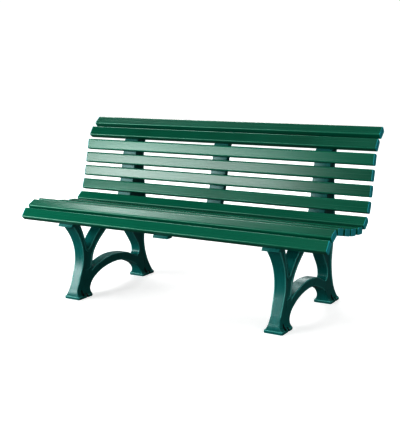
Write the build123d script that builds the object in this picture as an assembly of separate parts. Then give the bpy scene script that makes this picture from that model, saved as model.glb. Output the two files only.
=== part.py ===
from build123d import *
import os
from math import cos, sin, atan2, degrees, hypot

# Garden bench: thirteen hollow plastic slats on three curved rails, the two outer
# rails carried by moulded leg frames.  Millimetres, +Z up, X along the bench,
# the seat faces -Y, the origin is on the ground below the middle of the bench.

# ---------------------------------------------------------------- driving sizes
LENGTH = 1500.0          # over the end caps
FRAME_X = 510.0          # leg frame centre, each side of the middle
FRONT_Y = -287.0         # front edge of the front feet

SLAT_W = 50.0            # slat width
SLAT_T = 30.0            # slat thickness
SLAT_R = 6.0             # rounding of the slat's long edges
SLAT_WALL = 3.0
WEB_T = 2.0              # two webs inside the slat
WEB_AT = 8.5             # web centre from the middle of the slat
CAP_T = 3.0              # end cap plate
CAP_PLUG = 12.0          # how far the cap's plugs go in
CAP_FIT = 0.25           # play round each plug

RAIL_W = 76.0            # rail: a channel, open behind
RAIL_D = 27.0
RAIL_PLATE = 6.0
RAIL_SIDE = 5.0
RAIL_END_Z = 345.0       # the front end is cut level here

BODY_W = 52.0            # leg frame
CORE_W = 44.0            # tongue that touches the rail's plate
SADDLE_DEPTH = 14.0      # where the frame widens to fill the channel
CORE_DEPTH = 6.0

SOLE_W = 85.0            # foot flange
SOLE_T = 12.0
FOOT_FRONT = (0.0, 104.0)
FOOT_REAR = (521.0, 625.2)
FIX_X = 34.0             # ground fixing holes, from the frame's middle plane
FIX_D = 9.0
FIX_SINK_D = 14.0
FIX_SINK_Z = 7.0

SCREW_X = 28.0           # slat screws, from the rail's middle plane
SCREW_D = 5.0
SCREW_L = 22.0
SCREW_HEAD_D = 9.0
SCREW_HEAD_T = 3.0

BOLT_D = 8.0
BOLT_HEAD_AF = 13.0
BOLT_HEAD_T = 5.3
NUT_T = 6.5
WASHER_D = 20.0
WASHER_T = 1.6
BOLT_DEPTH = 20.5        # bolt centre behind the rail's front surface

# Corners of the rail's front surface, from the front end over the seat and up
# the back: (distance behind the front feet, height).  One slat sits on each flat.
CORNERS = [
    (-41.5, 340.0),
    (-5.1, 389.0),
    (50.6, 417.4),
    (128.2, 402.2),
    (201.1, 387.7),
    (274.4, 379.1),
    (361.8, 374.6),
    (418.5, 420.8),
    (447.7, 500.9),
    (462.5, 568.3),
    (477.5, 633.3),
    (491.1, 692.2),
    (521.2, 737.1),
    (574.0, 779.2),
]
# Distance of each slat's middle line along its own flat.
STATIONS = [45.0, 39.2, 39.9, 39.1, 35.2, 39.6, 41.4, 49.9, 35.6, 33.4, 33.4, 34.3, 45.5]
NAMES = ["seat_slat_%d" % n for n in range(1, 7)] + ["back_slat_%d" % n for n in range(1, 8)]
SEAT = range(0, 6)
BACK = range(6, 13)
BOLT_FLATS = [2, 4, 7, 9, 11]        # flats whose slat hides a frame bolt


# ---------------------------------------------------------------- rail geometry
def direction(flat):
    """Unit direction of a flat, going up the rail."""
    a = CORNERS[flat]
    b = CORNERS[flat + 1]
    run = hypot(b[0] - a[0], b[1] - a[1])
    return (b[0] - a[0]) / run, (b[1] - a[1]) / run


def at(flat, along, depth):
    """Point on a flat, 'along' from its lower corner and 'depth' behind its face."""
    c, s = direction(flat)
    y, z = CORNERS[flat]
    return (y + along * c + depth * s, z + along * s - depth * c)


def corner(n, depth):
    """Mitred corner of the rail's face moved back by 'depth'."""
    c1, s1 = direction(n - 1)
    c2, s2 = direction(n)
    grow = depth / (1.0 + c1 * c2 + s1 * s2)
    y, z = CORNERS[n]
    return (y + (s1 + s2) * grow, z - (c1 + c2) * grow)


def rail_line(depth, along_first, along_last):
    """The rail's face moved back by 'depth', between two places on its end flats."""
    last = len(CORNERS) - 2
    middle = [corner(n, depth) for n in range(1, last + 1)]
    return [at(0, along_first, depth)] + middle + [at(last, along_last, depth)]


def end_flat_length():
    a = CORNERS[-2]
    b = CORNERS[-1]
    return hypot(b[0] - a[0], b[1] - a[1])


def world(points):
    return [(y + FRONT_Y, z) for y, z in points]


def side_face(edges):
    """Face in the YZ plane from curves drawn in (y, z)."""
    return Plane.YZ * make_face(edges)


def slab(edges, width, x=0.0):
    """Side outline made 'width' thick, centred on x."""
    return Pos(x, 0, 0) * extrude(side_face(edges), amount=width / 2, both=True)


def closed(points):
    pts = world(points)
    return Polyline(*pts, close=True).edges()


def band(depth_a, depth_b, width, first, last, x=0.0):
    """Strip that follows the rail between two depths."""
    outline = rail_line(depth_a, first, last) + list(reversed(rail_line(depth_b, first, last)))
    return slab(closed(outline), width, x)


def curve(*points):
    return Spline(*world(points))


def line(*points):
    return Polyline(*world(points))


def section_plane(flat, x):
    """Plane across the slat on a flat: local x is its width, local y its face."""
    c, s = direction(flat)
    y, z = at(flat, STATIONS[flat], -SLAT_T / 2)
    return Plane(origin=(x, y + FRONT_Y, z), x_dir=(0, c, s), z_dir=(1, 0, 0))


def screw_plane(flat, x):
    """Plane on the rail plate's rear surface, its normal pointing at the slat."""
    c, s = direction(flat)
    y, z = at(flat, STATIONS[flat], RAIL_PLATE)
    return Plane(origin=(x, y + FRONT_Y, z), x_dir=(1, 0, 0), z_dir=(0, -s, c))


# ---------------------------------------------------------------- slats and caps
INSIDE_W = SLAT_W - 2 * SLAT_WALL
INSIDE_T = SLAT_T - 2 * SLAT_WALL
TUBE_L = LENGTH - 2 * CAP_T
MIDDLE_W = 2 * WEB_AT - WEB_T
OUTER_W = (INSIDE_W - MIDDLE_W) / 2 - WEB_T
OUTER_AT = INSIDE_W / 2 - OUTER_W / 2


def slat_section():
    outer = RectangleRounded(SLAT_W, SLAT_T, SLAT_R)
    hollow = RectangleRounded(INSIDE_W, INSIDE_T, SLAT_R - SLAT_WALL)
    webs = Rectangle(WEB_T, INSIDE_T)
    return outer - hollow + Pos(WEB_AT, 0) * webs + Pos(-WEB_AT, 0) * webs


def slat(flat):
    body = extrude(section_plane(flat, -TUBE_L / 2) * slat_section(), amount=TUBE_L)
    for x in (-FRAME_X, 0.0, FRAME_X):
        for side in (-1, 1):
            hole = extrude(screw_plane(flat, x + side * SCREW_X) * Circle(SCREW_D / 2), amount=14)
            body = body - hole
    return body


def end_cap(flat, side):
    """Cap plate with three plugs, on the left (-1) or right (+1) end of a slat."""
    outer_face = section_plane(flat, side * LENGTH / 2)
    plate = extrude(outer_face * RectangleRounded(SLAT_W, SLAT_T, SLAT_R), amount=-side * CAP_T)
    inner_face = section_plane(flat, side * (LENGTH / 2 - CAP_T))
    plug_t = INSIDE_T - 2 * CAP_FIT
    plugs = Rectangle(MIDDLE_W - 2 * CAP_FIT, plug_t)
    outer_plug = RectangleRounded(OUTER_W - 2 * CAP_FIT, plug_t, 2.9)
    plugs = plugs + Pos(OUTER_AT, 0) * outer_plug + Pos(-OUTER_AT, 0) * outer_plug
    return plate + extrude(inner_face * plugs, amount=-side * CAP_PLUG)


# ---------------------------------------------------------------- rails
def bolt_points():
    return [at(flat, STATIONS[flat], BOLT_DEPTH) for flat in BOLT_FLATS]


def cross_rod(point, diameter, x_from, x_to):
    plane = Plane(origin=(x_from, point[0] + FRONT_Y, point[1]), x_dir=(0, 1, 0), z_dir=(1, 0, 0))
    return extrude(plane * Circle(diameter / 2), amount=x_to - x_from)


def rail(x, bolted):
    top = end_flat_length()
    body = band(0.0, RAIL_D, RAIL_W, 0.0, top, x)
    inside = band(RAIL_PLATE, RAIL_D + 12, RAIL_W - 2 * RAIL_SIDE, 32.0, top - 4.0, x)
    below = Pos(x, FRONT_Y, RAIL_END_Z - 50) * Box(200, 200, 100)
    body = body - inside - below
    for flat in range(len(STATIONS)):
        for side in (-1, 1):
            start = screw_plane(flat, x + side * SCREW_X)
            body = body - extrude(start * Circle(SCREW_D / 2), amount=RAIL_PLATE + 1)
    if bolted:
        for point in bolt_points():
            body = body - cross_rod(point, BOLT_D, x - RAIL_W, x + RAIL_W)
    return body


# ---------------------------------------------------------------- leg frame
def frame_outline():
    """Outer outline: front leg, seat and back along the rail, rear leg, arch."""
    top = rail_line(SADDLE_DEPTH, 37.0, 50.0)
    front = curve((2, 0), (6, 30), (17, 52), (37, 101), (55, 152), (60, 197), (50, 250), (24, 300),
                  (-12, 345))
    up = line((-12, 345), (-4, 345), at(0, 37.0, RAIL_D), *top, at(12, 50.0, RAIL_D))
    crown = curve(at(12, 50.0, RAIL_D), (592, 749), (602, 736))
    rear = curve((602, 736), (585, 696), (568, 632), (564, 565), (569, 500), (575, 428), (574, 320),
                 (566, 240), (562, 180), (571, 130), (586, 92), (608, 50), (617, 30), (623, 0))
    heel = line((623, 0), (524, 0))
    arch = curve((524, 0), (522, 27), (507, 53), (473, 79), (430, 98), (389, 112), (341, 120),
                 (267, 118), (196, 103), (143, 78), (112, 49), (103, 25), (103, 0))
    sole = line((103, 0), (2, 0))
    return front + up + crown + rear + heel + arch + sole


def fork_opening():
    """The V between the two upper branches of the front leg."""
    sides = curve((40, 342), (56, 314), (70, 283), (83, 250), (90, 229), (98, 220), (111, 229),
                  (131, 251), (154, 276), (183, 301), (212, 330))
    top = line((212, 330), (196, 343), (128, 357), (70, 368), (48, 358), (40, 342))
    return sides + top


def upper_opening():
    """The opening between the arch, the rear branch and the rear leg."""
    arch_top = curve((125, 116), (150, 131), (192, 143), (243, 155), (305, 160), (368, 155),
                     (411, 147), (440, 136), (498, 113))
    round_top = curve((498, 113), (513, 126), (516, 143), (507, 171), (487, 199), (453, 243),
                      (405, 294), (362, 324), (318, 334), (277, 324), (239, 295), (190, 257),
                      (163, 231), (146, 210), (135, 188), (128, 152), (125, 116))
    return arch_top + round_top


def foot(front, rear, x):
    """Foot flange with its flare, a notch in each long edge and two fixing holes."""
    middle = (front + rear) / 2 + FRONT_Y
    length = rear - front
    sole = extrude(Pos(x, middle) * RectangleRounded(SOLE_W, length, 8), amount=SOLE_T)
    half = BODY_W / 2
    plane = Plane(origin=(x, rear - 5 + FRONT_Y, 0), x_dir=(1, 0, 0), z_dir=(0, -1, 0))
    right = ThreePointArc((half - 1, 40), (half + 4, 22), (half + 13, SOLE_T - 1))
    base = Line((half + 13, SOLE_T - 1), (-half - 13, SOLE_T - 1))
    left = ThreePointArc((-half - 13, SOLE_T - 1), (-half - 4, 22), (-half + 1, 40))
    over = Line((-half + 1, 40), (half - 1, 40))
    flare = extrude(plane * make_face(right + base + left + over), amount=length - 10)
    body = sole + flare
    return body


def fixings(front, x):
    """Material removed from a foot: fixing holes, their sinkings and edge notches."""
    cut = Part()
    for side in (-1, 1):
        hole = Pos(x + side * FIX_X, front + 38 + FRONT_Y) * Circle(FIX_D / 2)
        sink = Pos(x + side * FIX_X, front + 38 + FRONT_Y, FIX_SINK_Z) * Circle(FIX_SINK_D / 2)
        notch = Pos(x + side * (SOLE_W / 2 + 2), front + 62 + FRONT_Y) * Circle(6)
        cut = cut + extrude(hole, amount=60) + extrude(sink, amount=50) + extrude(notch, amount=40)
    return cut


def leg_frame(x):
    body = slab(frame_outline(), BODY_W)
    body = body - slab(fork_opening(), 2 * BODY_W) - slab(upper_opening(), 2 * BODY_W)
    body = body + band(SADDLE_DEPTH, RAIL_D, RAIL_W - 2 * RAIL_SIDE, 37.0, 50.0)
    body = body + band(CORE_DEPTH, SADDLE_DEPTH + 1, CORE_W, 37.0, 50.0)
    body = Pos(x, 0, 0) * body
    body = body + foot(FOOT_FRONT[0], FOOT_FRONT[1], x) + foot(FOOT_REAR[0], FOOT_REAR[1], x)
    body = body - fixings(FOOT_FRONT[0], x) - fixings(FOOT_REAR[0], x)
    for point in bolt_points():
        body = body - cross_rod(point, BOLT_D, x - RAIL_W, x + RAIL_W)
    return body


# ---------------------------------------------------------------- fasteners
def slat_screw(flat, x):
    """Pan-head screw through the rail's plate into the slat's back wall."""
    start = screw_plane(flat, x)
    head = extrude(start * Circle(SCREW_HEAD_D / 2), amount=-SCREW_HEAD_T)
    shank = extrude(start * Circle(SCREW_D / 2), amount=SCREW_L)
    slot = extrude(start.offset(-SCREW_HEAD_T) * Rectangle(5, 1.2), amount=1.4)
    return head + shank - slot


def frame_bolt(point, x):
    head_x = x + RAIL_W / 2 + WASHER_T
    end_x = x - RAIL_W / 2 - WASHER_T - NUT_T - 2
    plane = Plane(origin=(head_x, point[0] + FRONT_Y, point[1]), x_dir=(0, 1, 0), z_dir=(1, 0, 0))
    head = extrude(plane * RegularPolygon(BOLT_HEAD_AF / 2, 6, major_radius=False), amount=BOLT_HEAD_T)
    return head + cross_rod(point, BOLT_D, end_x, head_x)


def frame_nut(point, x):
    start = x - RAIL_W / 2 - WASHER_T - NUT_T
    plane = Plane(origin=(start, point[0] + FRONT_Y, point[1]), x_dir=(0, 1, 0), z_dir=(1, 0, 0))
    nut = extrude(plane * RegularPolygon(BOLT_HEAD_AF / 2, 6, major_radius=False), amount=NUT_T)
    return nut - cross_rod(point, BOLT_D, start - 1, start + NUT_T + 1)


def washers(point, x):
    """One washer under the head and one under the nut."""
    found = []
    for start in (x + RAIL_W / 2, x - RAIL_W / 2 - WASHER_T):
        disc = cross_rod(point, WASHER_D, start, start + WASHER_T)
        found.append(disc - cross_rod(point, BOLT_D, start - 1, start + WASHER_T + 1))
    return found


# ---------------------------------------------------------------- writing
def solids_of(shape):
    return list(shape.solids())


def write(name, shapes):
    solids = []
    for shape in shapes:
        solids.extend(solids_of(shape))
    part = solids[0] if len(solids) == 1 else Compound(children=solids)
    part.label = name
    export_step(part, "parts/%s.step" % name)


for flat, name in enumerate(NAMES):
    write(name, [slat(flat)])

for side, word in ((-1, "left"), (1, "right")):
    write("seat_end_caps_%s" % word, [end_cap(flat, side) for flat in SEAT])
    write("back_end_caps_%s" % word, [end_cap(flat, side) for flat in BACK])
    x = side * FRAME_X
    write("rail_%s" % word, [rail(x, True)])
    write("leg_frame_%s" % word, [leg_frame(x)])
    write("frame_bolts_%s" % word, [frame_bolt(point, x) for point in bolt_points()])
    write("frame_nuts_%s" % word, [frame_nut(point, x) for point in bolt_points()])
    write("frame_washers_%s" % word, [w for point in bolt_points() for w in washers(point, x)])

write("rail_middle", [rail(0.0, False)])

for x, word in ((-FRAME_X, "left"), (0.0, "middle"), (FRAME_X, "right")):
    screws = []
    for flat in range(len(NAMES)):
        screws.append(slat_screw(flat, x - SCREW_X))
        screws.append(slat_screw(flat, x + SCREW_X))
    write("slat_screws_%s" % word, screws)
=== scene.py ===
import logging
import math
from dataclasses import dataclass, field
from enum import Enum

import bmesh
import bpy
import numpy as np
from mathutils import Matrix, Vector


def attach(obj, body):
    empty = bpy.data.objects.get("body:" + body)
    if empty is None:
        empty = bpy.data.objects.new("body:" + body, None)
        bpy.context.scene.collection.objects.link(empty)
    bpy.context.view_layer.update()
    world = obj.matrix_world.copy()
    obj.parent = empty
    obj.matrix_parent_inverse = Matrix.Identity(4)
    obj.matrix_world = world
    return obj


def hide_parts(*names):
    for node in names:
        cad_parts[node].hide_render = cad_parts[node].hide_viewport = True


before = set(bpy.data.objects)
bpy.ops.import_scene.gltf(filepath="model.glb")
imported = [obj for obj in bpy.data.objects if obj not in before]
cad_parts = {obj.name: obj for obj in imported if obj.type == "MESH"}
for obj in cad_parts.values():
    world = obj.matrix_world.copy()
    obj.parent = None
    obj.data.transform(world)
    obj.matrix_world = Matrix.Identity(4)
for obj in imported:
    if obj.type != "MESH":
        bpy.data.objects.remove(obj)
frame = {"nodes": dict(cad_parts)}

LOG = logging.getLogger("garden_bench")
BODY = "root"
MM = 0.001
FRONT_Y = -0.287
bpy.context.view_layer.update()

Point2 = tuple[float, float]
Triple = tuple[float, float, float]
Ring = list[bmesh.types.BMVert]


class Slot(Enum):
    """Material slots of the bench's record."""

    SLATS = "slat_plastic"
    CAPS = "cap_plastic"
    FRAME = "frame_plastic"
    STEEL = "fastener_steel"


class Side(Enum):
    """Ends of the bench, as seen from the front."""

    LEFT = -1
    RIGHT = 1

    @property
    def word(self) -> str:
        """Gives the word used in node names."""
        return self.name.lower()


# ------------------------------------------------------------------ helpers
def link_object(name: str, mesh: bpy.types.Mesh) -> bpy.types.Object:
    """Puts a mesh into the scene as an object at the origin.

    Args:
        name: Name of the object and its mesh.
        mesh: Finished mesh, in metres in the bench's frame.

    Returns:
        The new object.
    """
    mesh.name = name
    made = bpy.data.objects.new(name, mesh)
    bpy.context.scene.collection.objects.link(made)
    return made


def settle(thing: bpy.types.Object) -> bpy.types.Object:
    """Turns an object's evaluated shape into its plain mesh and drops its modifiers.

    Args:
        thing: Mesh object with live modifiers.

    Returns:
        The same object.
    """
    bpy.context.view_layer.update()
    graph = bpy.context.evaluated_depsgraph_get()
    mesh = bpy.data.meshes.new_from_object(
        thing.evaluated_get(graph), preserve_all_data_layers=True, depsgraph=graph
    )
    thing.modifiers.clear()
    thing.data = mesh
    mesh.name = thing.name
    return thing


def hand_over(piece: bpy.types.Object, nodes: list[str]) -> None:
    """Lets a piece stand for its CAD nodes and ride on the bench.

    Args:
        piece: Finished piece.
        nodes: CAD nodes that the piece stands for.
    """
    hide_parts(*nodes)
    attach(piece, BODY)
    low = [min(v.co[a] for v in piece.data.vertices) for a in range(3)]
    high = [max(v.co[a] for v in piece.data.vertices) for a in range(3)]
    LOG.info(
        "%s: %d faces, %s to %s m", piece.name, len(piece.data.polygons),
        [round(v, 3) for v in low], [round(v, 3) for v in high],
    )


def smooth_curve(points: list[Point2], spacing: float) -> list[Point2]:
    """Runs a natural cubic curve through points and samples it evenly.

    Args:
        points: Points that the curve goes through, in mm.
        spacing: Wanted distance between samples, in mm.

    Returns:
        Samples from the first point to the last.
    """
    p = np.array(points, float)
    t = np.concatenate([[0.0], np.cumsum(np.hypot(*np.diff(p, axis=0).T))])
    n = len(p)
    h = np.diff(t)
    a = np.zeros((n, n))
    b = np.zeros((n, 2))
    a[0, 0] = a[-1, -1] = 1.0
    for i in range(1, n - 1):
        a[i, i - 1 : i + 2] = h[i - 1], 2 * (h[i - 1] + h[i]), h[i]
        b[i] = 6 * ((p[i + 1] - p[i]) / h[i] - (p[i] - p[i - 1]) / h[i - 1])
    m = np.linalg.solve(a, b)
    out = []
    for u in np.linspace(0, t[-1], max(3, int(round(t[-1] / spacing)) + 1)):
        i = min(max(int(np.searchsorted(t, u, "right")) - 1, 0), n - 2)
        w0, w1 = t[i + 1] - u, u - t[i]
        q = (m[i] * w0**3 + m[i + 1] * w1**3) / (6 * h[i])
        q += (p[i] / h[i] - m[i] * h[i] / 6) * w0 + (p[i + 1] / h[i] - m[i + 1] * h[i] / 6) * w1
        out.append((float(q[0]), float(q[1])))
    return out


def straight_run(points: list[Point2], spacing: float) -> list[Point2]:
    """Samples a run of straight lines, keeping every corner.

    Args:
        points: Corners of the run, in mm.
        spacing: Longest distance between samples, in mm.

    Returns:
        Samples from the first corner to the last.
    """
    out = [points[0]]
    for (ya, za), (yb, zb) in zip(points, points[1:]):
        steps = max(1, math.ceil(math.hypot(yb - ya, zb - za) / spacing))
        out += [(ya + (yb - ya) * k / steps, za + (zb - za) * k / steps) for k in range(1, steps + 1)]
    return out


def closed_loop(*runs: list[Point2]) -> list[Point2]:
    """Joins runs into one closed loop without repeated points.

    Args:
        runs: Runs of points, each starting where the last one ended.

    Returns:
        Points of the loop, the first not repeated at the end.
    """
    loop: list[Point2] = []
    for run in runs:
        for point in run:
            if not loop or math.dist(point, loop[-1]) > 0.4:
                loop.append(point)
    while math.dist(loop[0], loop[-1]) < 0.4:
        loop.pop()
    return loop


def offset_loop(loop: list[Point2], amount: float) -> list[Point2]:
    """Moves a closed loop sideways, to the left of the way it runs.

    Args:
        loop: Points of the loop.
        amount: Distance in mm.

    Returns:
        The moved points, one for each point of the loop.
    """
    p = np.array(loop, float)
    ahead = np.roll(p, -1, axis=0) - p
    ahead /= np.linalg.norm(ahead, axis=1)[:, None]
    left = np.stack([-ahead[:, 1], ahead[:, 0]], axis=1)
    before = np.roll(left, 1, axis=0)
    grow = np.maximum(1.0 + (left * before).sum(axis=1), 0.45)
    moved = p + amount * (left + before) / grow[:, None]
    return [(float(y), float(z)) for y, z in moved]


def turned(loop: list[Point2], anticlockwise: bool) -> list[Point2]:
    """Gives a closed loop with the wanted sense.

    Args:
        loop: Points of the loop.
        anticlockwise: Whether the loop should run anticlockwise.

    Returns:
        The loop, reversed where needed.
    """
    area = sum(a[0] * b[1] - b[0] * a[1] for a, b in zip(loop, loop[1:] + loop[:1]))
    return loop if (area > 0) == anticlockwise else loop[::-1]


def softened(loop: list[Point2], rounds: int) -> list[Point2]:
    """Cuts the corners of a closed loop again and again.

    Args:
        loop: Points of the loop.
        rounds: How often the corners are cut.

    Returns:
        The softened loop.
    """
    for _ in range(rounds):
        cut: list[Point2] = []
        for (ya, za), (yb, zb) in zip(loop, loop[1:] + loop[:1]):
            cut += [
                (ya * 0.75 + yb * 0.25, za * 0.75 + zb * 0.25),
                (ya * 0.25 + yb * 0.75, za * 0.25 + zb * 0.75)
            ]
        loop = cut
    return loop


# ------------------------------------------------------------------ finishes
class NodeSheet:
    """Small helper that adds and joins nodes in one tree."""

    def __init__(self, tree: bpy.types.NodeTree) -> None:
        """Keeps the tree that nodes are added to."""
        self.tree = tree

    def add(self, kind: str, inputs: dict | None = None, **settings: object) -> bpy.types.Node:
        """Adds a node.

        Args:
            kind: Type name of the node.
            inputs: Values or sockets for inputs, by identifier, name or number.
            settings: Properties of the node.

        Returns:
            The new node.
        """
        node = self.tree.nodes.new(kind)
        for key, value in settings.items():
            setattr(node, key, value)
        for key, value in (inputs or {}).items():
            socket = self.socket(node, key)
            if isinstance(value, bpy.types.NodeSocket):
                self.tree.links.new(value, socket)
            else:
                socket.default_value = value
        return node

    @staticmethod
    def socket(node: bpy.types.Node, key: str | int) -> bpy.types.NodeSocket:
        """Finds a node's input by number, identifier or name."""
        if isinstance(key, int):
            return node.inputs[key]
        for socket in node.inputs:
            if socket.identifier == key:
                return socket
        return node.inputs[key]


@dataclass(frozen=True)
class MouldedPlastic:
    """Satin plastic with fine flow lines, cloudy tone and a painted highlight along its rounded edges.

    Attributes:
        name: Material name.
        deep: Colour of the darker parts of the plastic.
        fresh: Colour of the lighter parts.
        edge: Colour of the painted highlight along rounded edges, broken up by fine specks.
        roughness: Mean roughness.
        lines: How finely the flow lines are set along X, Y and Z, per metre.
        relief: Strength of the surface relief.
        grain: Share of the flow lines in the colour.
        spread: How far the roughness goes either side of its mean.
        gloom: Nearly black colour inside hollows, which stands for their shadow.
    """

    name: str
    deep: Triple
    fresh: Triple
    edge: Triple
    roughness: float
    lines: Triple
    relief: float = 0.12
    grain: float = 0.55
    spread: float = 0.075
    gloom: Triple = (0.001, 0.008, 0.008)

    def build(self) -> bpy.types.Material:
        """Builds the node material.

        Returns:
            The finished material.
        """
        made = bpy.data.materials.new(self.name)
        made.use_nodes = True
        tree = made.node_tree
        shader = tree.nodes["Principled BSDF"]
        sheet = NodeSheet(tree)
        place = sheet.add("ShaderNodeTexCoord").outputs["Object"]
        along = sheet.add("ShaderNodeMapping", {"Vector": place, "Scale": self.lines}).outputs[0]
        flow = sheet.add(
            "ShaderNodeTexNoise", {"Vector": along, "Scale": 1.0, "Detail": 3.0, "Roughness": 0.55}
        ).outputs["Fac"]
        cloud = sheet.add(
            "ShaderNodeTexNoise", {"Vector": place, "Scale": 3.2, "Detail": 3.0, "Roughness": 0.5}
        ).outputs["Fac"]
        speck = sheet.add(
            "ShaderNodeTexNoise", {"Vector": place, "Scale": 900.0, "Detail": 2.0, "Roughness": 0.6}
        ).outputs["Fac"]
        tone = sheet.add("ShaderNodeAttribute", attribute_name="tone").outputs["Fac"]
        edge_highlight = sheet.add("ShaderNodeAttribute", attribute_name="edge").outputs["Fac"]
        blend = sheet.add(
            "ShaderNodeMath", {0: flow, 1: self.grain, 2: 0.275 - 0.5 * self.grain},
            operation="MULTIPLY_ADD"
        )
        blend = sheet.add(
            "ShaderNodeMath", {0: cloud, 1: 0.45, 2: blend.outputs[0]}, operation="MULTIPLY_ADD"
        )
        blend = sheet.add(
            "ShaderNodeMath", {0: tone, 1: 0.35, 2: blend.outputs[0]}, operation="MULTIPLY_ADD"
        )
        share = sheet.add(
            "ShaderNodeMapRange", {"Value": blend.outputs[0], "From Min": 0.32, "From Max": 0.72}
        ).outputs["Result"]
        body = sheet.add(
            "ShaderNodeMix", {
                "Factor_Float": share, "A_Color": (*self.deep, 1.0), "B_Color": (*self.fresh, 1.0)
            },
            data_type="RGBA",
        )
        # Painted highlight: the marked rounded edges are mixed toward the edge colour, broken up by fine
        # specks.
        highlight_mix = sheet.add("ShaderNodeMath", {0: edge_highlight, 1: speck}, operation="MULTIPLY")
        highlight_mix = sheet.add(
            "ShaderNodeMath", {0: highlight_mix.outputs[0], 1: 1.3}, operation="MULTIPLY", use_clamp=True
        )
        colour = sheet.add(
            "ShaderNodeMix",
            {"Factor_Float": highlight_mix.outputs[0], "A_Color": self.result(body), "B_Color": (*self.edge, 1.0)},
            data_type="RGBA",
        )
        hollow = sheet.add("ShaderNodeAttribute", attribute_name="hollow").outputs["Fac"]
        colour = sheet.add(
            "ShaderNodeMix",
            {"Factor_Float": hollow, "A_Color": self.result(colour), "B_Color": (*self.gloom, 1.0)},
            data_type="RGBA",
        )
        tree.links.new(self.result(colour), shader.inputs["Base Color"])
        rough = sheet.add(
            "ShaderNodeMapRange",
            {
                "Value": flow, "From Min": 0.3, "From Max": 0.7, "To Min": self.roughness - self.spread,
                "To Max": self.roughness + self.spread
            },
        )
        tree.links.new(rough.outputs["Result"], shader.inputs["Roughness"])
        height = sheet.add("ShaderNodeMath", {0: speck, 1: 0.1, 2: flow}, operation="MULTIPLY_ADD")
        bump = sheet.add(
            "ShaderNodeBump", {"Strength": self.relief, "Distance": 0.0006, "Height": height.outputs[0]}
        )
        tree.links.new(bump.outputs["Normal"], shader.inputs["Normal"])
        shader.inputs["IOR"].default_value = 1.49
        return made

    @staticmethod
    def result(mix: bpy.types.Node) -> bpy.types.NodeSocket:
        """Finds the colour output of a mix node."""
        return next(s for s in mix.outputs if s.identifier == "Result_Color")


@dataclass(frozen=True)
class ZincPlate:
    """Dull zinc-plated steel with a faint spangle.

    Attributes:
        name: Material name.
        bright: Colour of the brighter spangle.
        dull: Colour of the duller spangle.
        roughness: Mean roughness.
    """

    name: str = "zinc_plate"
    bright: Triple = (0.62, 0.64, 0.65)
    dull: Triple = (0.42, 0.44, 0.46)
    roughness: float = 0.36

    def build(self) -> bpy.types.Material:
        """Builds the node material.

        Returns:
            The finished material.
        """
        made = bpy.data.materials.new(self.name)
        made.use_nodes = True
        tree = made.node_tree
        shader = tree.nodes["Principled BSDF"]
        sheet = NodeSheet(tree)
        place = sheet.add("ShaderNodeTexCoord").outputs["Object"]
        grains = sheet.add("ShaderNodeTexVoronoi", {"Vector": place, "Scale": 420.0}).outputs["Distance"]
        haze = sheet.add(
            "ShaderNodeTexNoise", {"Vector": place, "Scale": 160.0, "Detail": 4.0}
        ).outputs["Fac"]
        colour = sheet.add(
            "ShaderNodeMix", {
                "Factor_Float": haze, "A_Color": (*self.dull, 1.0), "B_Color": (*self.bright, 1.0)
            },
            data_type="RGBA",
        )
        tree.links.new(MouldedPlastic.result(colour), shader.inputs["Base Color"])
        rough = sheet.add(
            "ShaderNodeMapRange",
            {"Value": grains, "To Min": self.roughness - 0.08, "To Max": self.roughness + 0.12},
        )
        tree.links.new(rough.outputs["Result"], shader.inputs["Roughness"])
        bump = sheet.add("ShaderNodeBump", {"Strength": 0.1, "Distance": 0.0002, "Height": haze})
        tree.links.new(bump.outputs["Normal"], shader.inputs["Normal"])
        shader.inputs["Metallic"].default_value = 1.0
        return made


@dataclass(frozen=True)
class Finishes:
    """All finishes of the bench, built once.

    Attributes:
        slats: Glossy green of the slats.
        caps: Teal of the end caps.
        frame: Green of the leg frames.
        rails: Green of the rails.
        steel: Zinc-plated steel of the fasteners.
    """

    slats: bpy.types.Material
    caps: bpy.types.Material
    frame: bpy.types.Material
    rails: bpy.types.Material
    steel: bpy.types.Material

    @classmethod
    def mix(cls) -> "Finishes":
        """Builds every material.

        Returns:
            The set of finishes.
        """
        return cls(
            slats=MouldedPlastic(
                "slat_green", (0.0, 0.076, 0.042), (0.0, 0.145, 0.088), (0.02, 0.20, 0.13), 0.26,
                (1.2, 300.0, 300.0), relief=0.02, grain=0.22, spread=0.02,
            ).build(),
            caps=MouldedPlastic(
                "cap_teal", (0.002, 0.225, 0.255), (0.006, 0.33, 0.37), (0.03, 0.34, 0.36), 0.42,
                (120.0, 60.0, 60.0),
            ).build(),
            frame=MouldedPlastic(
                "frame_green", (0.0, 0.110, 0.100), (0.0, 0.190, 0.176), (0.12, 0.48, 0.44), 0.34,
                (210.0, 90.0, 9.0),
            ).build(),
            rails=MouldedPlastic(
                "rail_green", (0.0, 0.11, 0.10), (0.002, 0.20, 0.185), (0.02, 0.26, 0.24), 0.38,
                (210.0, 60.0, 12.0),
            ).build(),
            steel=ZincPlate().build(),
        )


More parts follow.
